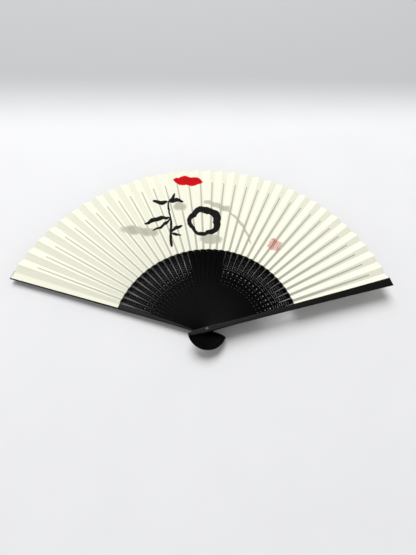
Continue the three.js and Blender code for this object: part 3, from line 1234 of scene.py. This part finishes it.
@dataclass
class Rivet:
    """The nylon rivet: a pin with a flat foot, let into the back guard, and a domed cap."""

    measures: FanMeasures
    material: bpy.types.Material
    pin_radius: float = 1.5 * MM
    foot_radius: float = 2.5 * MM
    foot_thickness: float = 0.6 * MM
    foot_edge: float = 0.12 * MM
    cap_radius: float = 2.05 * MM
    cap_height: float = 0.8 * MM
    cap_brim: float = 0.22 * MM
    cap_gap: float = 0.03 * MM
    cap_edge: float = 0.08 * MM
    dome_fullness: float = 0.8
    dome_steps: int = 9
    segments: int = 48

    def pin_profile(self) -> Profile:
        """Sets out the pin's outline.

        Returns:
            Its radii and heights, from the foot up.
        """
        top = self.measures.stack_top
        edge = self.foot_radius - self.foot_edge
        return ((0.0, 0.0), (edge, 0.0), (self.foot_radius, self.foot_edge),
                (self.foot_radius, self.foot_thickness), (self.pin_radius, self.foot_thickness),
                (self.pin_radius, top), (0.0, top))

    def cap_profile(self) -> Profile:
        """Sets out the cap's outline.

        Returns:
            Its radii and heights, from the underside up.
        """
        bottom = self.measures.stack_top + self.cap_gap
        brim = bottom + self.cap_brim
        turns = [math.pi / 2 * k / self.dome_steps for k in range(self.dome_steps)]
        rise = self.cap_height - self.cap_brim
        dome = [(self.cap_radius * math.cos(turn) ** self.dome_fullness, brim + rise * math.sin(turn))
                for turn in turns]
        return ((0.0, bottom), (self.cap_radius - self.cap_edge, bottom),
                (self.cap_radius, bottom + self.cap_edge), *dome, (0.0, bottom + self.cap_height))

    def build(self) -> list[bpy.types.Object]:
        """Builds the pin and the cap.

        Returns:
            The two pieces.
        """
        pieces = []
        for name, node, profile in (
            ("rivet_pin", "pivot_pin", self.pin_profile()), ("rivet_head", "rivet_cap", self.cap_profile())
        ):
            piece = new_object(name, lathe_mesh(name, profile, self.segments))
            piece.data.materials.append(self.material)
            piece.data.shade_smooth()
            piece.data.set_sharp_from_angle(angle=SHARP_ANGLE)
            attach(piece, "back_guard")
            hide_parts(node)
            pieces.append(piece)
        return pieces


# ---------- leaf ----------


@dataclass
class LeafColumn:
    """One line of the leaf from its inner to its outer edge, where it is folded, glued or free."""

    azimuth: np.ndarray
    height: np.ndarray
    follows: np.ndarray | float
    # Share of painted shade, where the sheet lies over a sliver.
    painted_sliver_shade: np.ndarray
    # Share of painted highlight, on a fold line.
    painted_fold_highlight: float


@dataclass
class PleatedLeaf:
    """The paper leaf: one closed pleated sheet, glued on the slivers and on the guards' inner faces."""

    measures: FanMeasures
    material: bpy.types.Material
    guard_thickness: Profile
    thickness: float = 0.05 * MM
    lift: float = 0.09 * MM
    free_lift: float = 0.162 * MM
    glue: float = 0.02 * MM
    fold_flat: float = 0.2 * MM
    fold_soft: float = 0.55 * MM
    fold_rounding: float = 0.035 * MM
    glue_margin: float = 0.15 * MM
    shade_margin: float = 0.02 * MM
    tip_margin: float = 0.1 * MM
    tip_gap: float = 0.5 * MM
    settled_at: float = -0.9
    settled_at_guard: float = 0.3
    rises_from: float = 0.66
    end_reach: float = math.radians(1.0)
    end_columns: int = 5
    rows: int = 30
    edge_wear: float = 0.35 * MM
    wear_span: int = 4
    sharp_angle: float = math.radians(60)
    seed: int = 11

    def radii(self) -> np.ndarray:
        """Sets out the sheet's rows.

        Returns:
            Their radii, with a close pair where the slivers end.
        """
        even = np.linspace(self.measures.leaf_inner, self.measures.leaf_outer, self.rows)
        tip = self.measures.sliver_tip
        return np.sort(np.concatenate((even, [tip, tip + self.tip_gap])))

    def rise(self, radius: np.ndarray) -> np.ndarray:
        """Height of a crest over the middle line of its rib."""
        return self.measures.slope * radius * self.measures.fold

    def rib_column(self, rib: int, share: np.ndarray, painted_fold_highlight: float, rounding: float) -> LeafColumn:
        """A column of the panel glued on a rib.

        Args:
            rib: number of the rib.
            share: where it lies in each row, from the valley (-1) over the middle line (0) to the crest (1).
            painted_fold_highlight: how much painted highlight it carries as a fold line.
            rounding: how far it lies under the sharp fold.

        Returns:
            The column.
        """
        radius = self.radii()
        height = self.measures.rib_heights[rib - 1] + self.lift + self.rise(radius) * share - rounding
        across = np.abs(share) * radius * self.measures.fold
        # Painted shade covers the sliver's width and a small margin, out to the sliver's tip.
        inside = across < self.measures.sliver_half(radius) + self.shade_margin
        over = (inside & (radius < self.measures.sliver_tip + self.tip_margin)).astype(float)
        azimuth = self.measures.azimuth(rib) + share * self.measures.fold
        return LeafColumn(azimuth, height, rib / self.measures.front_stick, over, painted_fold_highlight)

    def free_column(self, stick: int, share: np.ndarray) -> LeafColumn:
        """A column of the free panel after a stick.

        Args:
            stick: number of the stick.
            share: where it lies in each row, from the stick's valley (-1) to the next stick's crest (1).

        Returns:
            The column, which closes evenly between the two sticks.
        """
        measures, radius = self.measures, self.radii()
        rise = self.rise(radius)
        step = measures.rib_heights[1] - measures.rib_heights[0]
        middle = measures.rib_heights[0] + (stick - 1) * step
        inner_face = np.interp(radius, *zip(*self.guard_thickness))
        off_guard = self.glue + self.thickness / 2
        start, settled = self.lift, self.settled_at
        if stick == 0:
            start, settled = inner_face + off_guard - (middle - rise), self.settled_at_guard
        end = self.lift + step
        if stick == measures.rib_count:
            end = measures.stack_top - inner_face - off_guard - middle - rise
        left = np.clip((settled - share) / (settled + 1.0), 0.0, 1.0)
        right = np.clip((share - self.rises_from) / (1.0 - self.rises_from), 0.0, 1.0)
        bow = self.free_lift + (start - self.free_lift) * left + (end - self.free_lift) * right
        azimuth = measures.azimuth(stick) - measures.fold * (2.0 + share)
        follows = (stick + (1.0 + share) / 2) / measures.front_stick
        blank = np.zeros_like(radius)
        return LeafColumn(azimuth, middle + rise * share + bow, follows, blank, 0.0)

    def guard_columns(self, stick: int) -> list[LeafColumn]:
        """The columns glued flat on a guard.

        Args:
            stick: number of the guard.

        Returns:
            The columns, from left to right.
        """
        measures, radius = self.measures, self.radii()
        inner_face = np.interp(radius, *zip(*self.guard_thickness))
        off_guard = inner_face + self.glue + self.thickness / 2
        height = measures.stack_top - off_guard if stick else off_guard
        turns = (measures.fold, -self.end_reach) if stick else (self.end_reach, -measures.fold)
        blank = np.zeros_like(radius)
        return [
            LeafColumn(np.full_like(radius, measures.azimuth(stick) + turn), height,
                       stick / measures.front_stick, blank, 0.0)
            for turn in np.linspace(*turns, self.end_columns)
        ]

    def columns(self) -> list[LeafColumn]:
        """Sets out every column of the sheet.

        Returns:
            The columns, from the back guard to the front guard.
        """
        radius = self.radii()
        half_panel = radius * self.measures.fold
        flat, soft = self.fold_flat / half_panel, self.fold_soft / half_panel
        edge = self.measures.sliver_half(radius) / half_panel
        margin = self.glue_margin / half_panel
        glued = (1 - flat, 1 - soft, edge + margin, edge, 0.5 * edge, -0.5 * edge, -edge, -edge - margin,
                 soft - 1, flat - 1)
        free = (flat - 1, soft - 1, -0.5, 0.0, 0.5, 1 - soft, 1 - flat)
        ones = np.ones_like(radius)
        found = self.guard_columns(0)
        for stick in range(self.measures.front_stick):
            if stick:
                # Crest and valley lines of a rib's panel carry the full painted fold highlight.
                found.append(self.rib_column(stick, ones, 1.0, self.fold_rounding))
                found += [self.rib_column(stick, share, 0.0, 0.0) for share in glued]
                found.append(self.rib_column(stick, -ones, 1.0, -self.fold_rounding))
            found += [self.free_column(stick, share * ones) for share in free]
        return found + self.guard_columns(self.measures.front_stick)

    def build(self) -> bpy.types.Object:
        """Builds the sheet, dresses it, bakes its place into its mesh and hides the frame's leaf strips.

        Returns:
            The finished leaf.
        """
        columns, rows = self.columns(), len(self.radii())
        azimuth, height, follows, painted_sliver_shade, painted_fold_highlight = (
            np.stack([getattr(column, field) * np.ones(rows) for column in columns], 1)
            for field in ("azimuth", "height", "follows", "painted_sliver_shade", "painted_fold_highlight")
        )
        knots = np.arange(0, len(columns) + self.wear_span, self.wear_span)
        draw = np.random.default_rng(self.seed)
        worn = np.interp(np.arange(len(columns)), knots, draw.random(len(knots)))
        last = (np.arange(rows) == rows - 1)[:, None]
        radius = self.radii()[:, None] - last * worn[None, :] * self.edge_wear
        half = self.thickness / 2 / math.cos(self.measures.pleat_tilt)
        plan = [radius * np.cos(azimuth), radius * np.sin(azimuth)]
        top, bottom = (np.stack((*plan, height + side * half), -1) for side in (1, -1))
        mesh = slab_mesh("paper_leaf", top, bottom)
        self._map_flat(mesh, radius, azimuth)
        # Stores the masks of the painted sliver shade and the painted fold highlights.
        for name, values in ((SLIVER_SHADE_ATTRIBUTE, painted_sliver_shade), (FOLD_HIGHLIGHT_ATTRIBUTE, painted_fold_highlight)):
            attribute = mesh.attributes.new(name, "FLOAT", "POINT")
            attribute.data.foreach_set("value", self._both_sides(values))
        leaf = new_object("paper_leaf", mesh)
        mesh.materials.append(self.material)
        mesh.shade_smooth()
        mesh.set_sharp_from_angle(angle=self.sharp_angle)
        self._tie(leaf)
        return leaf

    @staticmethod
    def _both_sides(values: np.ndarray) -> np.ndarray:
        """Values of the sheet's grid for its upper points, then again for its lower points."""
        return np.tile(values.reshape(-1), 2).astype(np.float32)

    def _map_flat(self, mesh: bpy.types.Mesh, radius: np.ndarray, azimuth: np.ndarray) -> None:
        """Gives the sheet a UV map of its unfolded shape, in metres.

        The rivet lies at (0, 0) and +V runs through the middle of the sheet.

        Args:
            mesh: the sheet.
            radius: radii of its points, as rows x columns.
            azimuth: azimuths of its points, in the same order.
        """
        turn = (math.pi / 2 - azimuth) / math.cos(self.measures.pleat_tilt)
        flat = np.stack((radius * np.sin(turn), radius * np.cos(turn)), -1).reshape(-1, 2)
        corners = np.empty(len(mesh.loops), np.int32)
        mesh.loops.foreach_get("vertex_index", corners)
        places = np.concatenate((flat, flat))[corners].astype(np.float32)
        mesh.uv_layers.new(name=UV_NAME).data.foreach_set("uv", places.reshape(-1))

    def _tie(self, leaf: bpy.types.Object) -> None:
        """Bakes the sheet's place into its mesh and hides the frame's leaf strips.

        Args:
            leaf: the sheet.
        """
        angles = [self.measures.azimuth(stick) for stick in (0, self.measures.front_stick)]
        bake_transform(leaf)
        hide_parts(*(name for name in frame["nodes"] if name.startswith("leaf_")))
        turn = (self.measures.azimuth(0) - math.pi / 2) / math.cos(self.measures.pleat_tilt)


# ---------- studio ----------


@dataclass
class CameraRig:
    """The camera: where it looks, from where, and how it frames the fan."""

    target: tuple[float, float, float] = (37.46 * MM, 62.71 * MM, 0.0)
    distance: float = 371.3 * MM
    elevation: float = math.radians(63.41)
    swing: float = math.radians(12.21)
    roll: float = math.radians(12.71)
    lens: float = 22.165
    sensor: float = 36.0
    shift_x: float = -0.0645
    clip_start: float = 10.0 * MM

    def build(self) -> bpy.types.Object:
        """Places the camera and makes it the scene's own.

        Returns:
            The camera.
        """
        data = bpy.data.cameras.new("camera")
        data.sensor_fit = "AUTO"
        data.sensor_width = self.sensor
        data.lens = self.lens
        data.shift_x = self.shift_x
        data.clip_start = self.clip_start
        level = math.cos(self.elevation)
        back = Vector((-math.sin(self.swing) * level, -math.cos(self.swing) * level,
                       math.sin(self.elevation)))
        right = (-back).cross(Vector((0, 0, 1))).normalized()
        up = right.cross(-back)
        rolled = math.cos(self.roll) * right + math.sin(self.roll) * up
        risen = -math.sin(self.roll) * right + math.cos(self.roll) * up
        camera = bpy.data.objects.new("camera", data)
        bpy.context.scene.collection.objects.link(camera)
        turn = Matrix((rolled, risen, back)).transposed().to_4x4()
        camera.matrix_world = Matrix.Translation(Vector(self.target) + self.distance * back) @ turn
        bpy.context.scene.camera = camera
        return camera


@dataclass(frozen=True)
class PaleFloor:
    """Matt white ground that falls away into soft grey behind the fan; the grey is painted shade, as of a
    sweep turning away from the light.
    """

    near: Colour = (0.605, 0.607, 0.615)
    # Painted shade: the grey the ground darkens to behind the fan.
    far: Colour = (0.355, 0.357, 0.365)
    grey_from: float = 285 * MM
    grey_to: float = 410 * MM
    turn: float = math.radians(6.6)
    mottle_size: float = 60 * MM
    mottle: Colour = (0.3, 0.3, 0.3)
    mottle_tones: tuple[float, float] = (0.3, 0.7)
    mottle_share: float = 0.03
    roughness: float = 0.9
    specular: float = 0.1

    def build(self) -> bpy.types.Material:
        """Builds the material.

        Returns:
            The material.
        """
        material, writer, shader = new_material("pale_floor")
        place = writer.add("ShaderNodeTexCoord").outputs["Object"]
        # Painted shade: the ground blends to the far grey with distance behind the fan.
        away = writer.vector("DOT_PRODUCT", place, (-math.sin(self.turn), math.cos(self.turn), 0.0))
        share = writer.ramp(away.outputs["Value"], self.grey_from, self.grey_to)
        colour = writer.mix(share, self.near, self.far)
        cloud = writer.add("ShaderNodeTexNoise", {
            "Vector": place, "Scale": 1 / self.mottle_size}).outputs[0]
        shade = writer.math("MULTIPLY", writer.ramp(cloud, *self.mottle_tones), self.mottle_share)
        writer.feed(writer.mix(shade, colour, self.mottle), shader.inputs["Base Color"])
        shader.inputs["Roughness"].default_value = self.roughness
        shader.inputs["Specular IOR Level"].default_value = self.specular
        return material


@dataclass
class Studio:
    """Floor, soft key light from behind and an even dim surround."""

    floor_half: float = 3.0
    floor_drop: float = 5.0 * MM
    key_azimuth: float = math.radians(104)
    key_elevation: float = math.radians(55)
    key_distance: float = 3.0
    key_size: float = 2.2
    key_power: float = 122.0
    key_offset: tuple[float, float, float] = (0.0, 100 * MM, 0.0)
    surround_low: float = 1.02
    surround_high: float = 0.28

    def build(self) -> None:
        """Builds the floor and the lights."""
        half = self.floor_half
        mesh = bpy.data.meshes.new("floor")
        corners = [(-half, -half), (half, -half), (half, half), (-half, half)]
        mesh.from_pydata([(x, y, -self.floor_drop) for x, y in corners], [], [(0, 1, 2, 3)])
        floor = new_object("floor", mesh)
        mesh.materials.append(PaleFloor().build())
        level = math.cos(self.key_elevation)
        heading = Vector((math.cos(self.key_azimuth) * level, math.sin(self.key_azimuth) * level,
                          math.sin(self.key_elevation)))
        data = bpy.data.lights.new("key", "AREA")
        data.shape = "DISK"
        data.size = self.key_size
        data.energy = self.key_power
        key = bpy.data.objects.new("key", data)
        key.location = heading * self.key_distance + Vector(self.key_offset)
        key.rotation_euler = heading.to_track_quat("Z", "Y").to_euler()
        bpy.context.scene.collection.objects.link(key)
        self._surround()

    def _surround(self) -> None:
        """Makes the world brighter near the horizon than overhead."""
        world = bpy.data.worlds.new("surround")
        world.use_nodes = True
        bpy.context.scene.world = world
        writer = TreeWriter(world.node_tree)
        heading = writer.add("ShaderNodeTexCoord").outputs["Generated"]
        height = writer.add("ShaderNodeSeparateXYZ", {0: heading}).outputs[2]
        strength = writer.ramp(height, 0.0, 1.0, self.surround_low, self.surround_high)
        sky = world.node_tree.nodes["Background"]
        sky.inputs["Color"].default_value = (1.0, 1.0, 1.0, 1.0)
        writer.feed(strength, sky.inputs["Strength"])


def main() -> None:
    """Builds the camera, the studio and the fan, piece by piece."""
    CameraRig().build()
    Studio().build()
    measures = measure_fan()
    fibre = build_fibre_group()
    hole_group = build_hole_field_group()
    rib_finish = LacqueredBamboo(
        "rib_bamboo", stain=(0.0004, 0.0004, 0.0004), raised=(0.0034, 0.0032, 0.003),
        smooth=0.32, rough=0.46, specular=0.012)
    guard_finish = LacqueredBamboo(
        "guard_bamboo", stain=(0.0012, 0.0012, 0.0011), raised=(0.0062, 0.0058, 0.0055),
        smooth=0.3, rough=0.44, specular=0.06)
    guards = GuardSticks(measures, guard_finish.build(fibre))
    log.info("guards: %d", len(guards.build(hole_group)))
    log.info("ribs: %d", len(RibSet(measures, rib_finish.build(fibre)).build(hole_group)))
    log.info("rivet pieces: %d", len(Rivet(measures, MouldedNylon().build()).build()))
    leaf = PleatedLeaf(measures, PaintedPaper().build(), guards.thickness()).build()
    log.info("leaf: %d faces", len(leaf.data.polygons))
    bpy.context.scene.view_settings.view_transform = "Standard"


if __name__ == "__main__":
    main()
